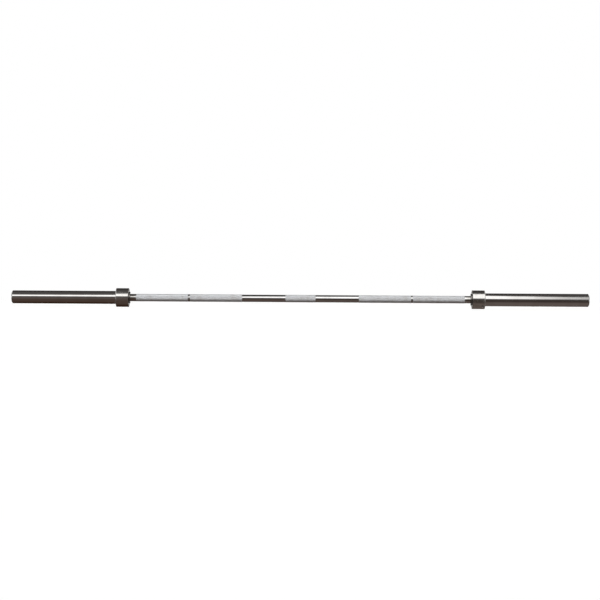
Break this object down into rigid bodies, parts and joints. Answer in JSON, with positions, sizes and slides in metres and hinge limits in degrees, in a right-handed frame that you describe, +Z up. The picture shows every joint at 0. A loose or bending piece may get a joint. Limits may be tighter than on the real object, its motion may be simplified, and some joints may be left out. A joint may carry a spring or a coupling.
{
  "type": "olympic barbell",
  "caption": "Olympic barbell: a straight knurled chrome shaft with a free-spinning 50 mm loading sleeve and a wide plate-stop collar at each end.",
  "frame": {"origin": "the bar's centre, on its axis", "axes": "+X along the bar, to the right in the picture; +Z up; the bar was pictured along +Y"},
  "size_m": [2.2, 0.072, 0.072],
  "materials": {
    "shaft_chrome": "knurled and bright chrome plated steel",
    "ring_steel": "turned and chrome plated steel",
    "seal_rubber": "moulded black rubber",
    "sleeve_chrome": "ground and bright chrome plated steel",
    "collar_chrome": "turned and satin chrome plated steel",
    "screw_steel": "black oxide steel",
    "bushing_bronze": "sintered bronze",
    "washer_steel": "ground steel",
    "spring_steel": "phosphated spring steel",
    "cap_chrome": "turned and chrome plated steel"
  },
  "bodies": {
    "shaft": {"shaft": "shaft_chrome", "left_thrust_ring": "ring_steel", "left_dust_seal": "seal_rubber", "left_thrust_washer": "washer_steel", "left_shaft_ring": "spring_steel", "right_thrust_ring": "ring_steel", "right_dust_seal": "seal_rubber", "right_thrust_washer": "washer_steel", "right_shaft_ring": "spring_steel"},
    "left_sleeve": {"left_sleeve_tube": "sleeve_chrome", "left_collar": "collar_chrome", "left_collar_screw": "screw_steel", "left_inner_bushing": "bushing_bronze", "left_outer_bushing": "bushing_bronze", "left_end_cap": "cap_chrome", "left_cap_ring": "spring_steel"},
    "right_sleeve": {"right_sleeve_tube": "sleeve_chrome", "right_collar": "collar_chrome", "right_collar_screw": "screw_steel", "right_inner_bushing": "bushing_bronze", "right_outer_bushing": "bushing_bronze", "right_end_cap": "cap_chrome", "right_cap_ring": "spring_steel"}
  },
  "joints": [
    {"name": "left_sleeve_spin", "type": "hinge", "parent": "shaft", "child": "left_sleeve", "pos_m": [-0.877, 0, 0], "axis": [1, 0, 0], "continuous": true},
    {"name": "right_sleeve_spin", "type": "hinge", "parent": "shaft", "child": "right_sleeve", "pos_m": [0.877, 0, 0], "axis": [1, 0, 0], "continuous": true}
  ]
}
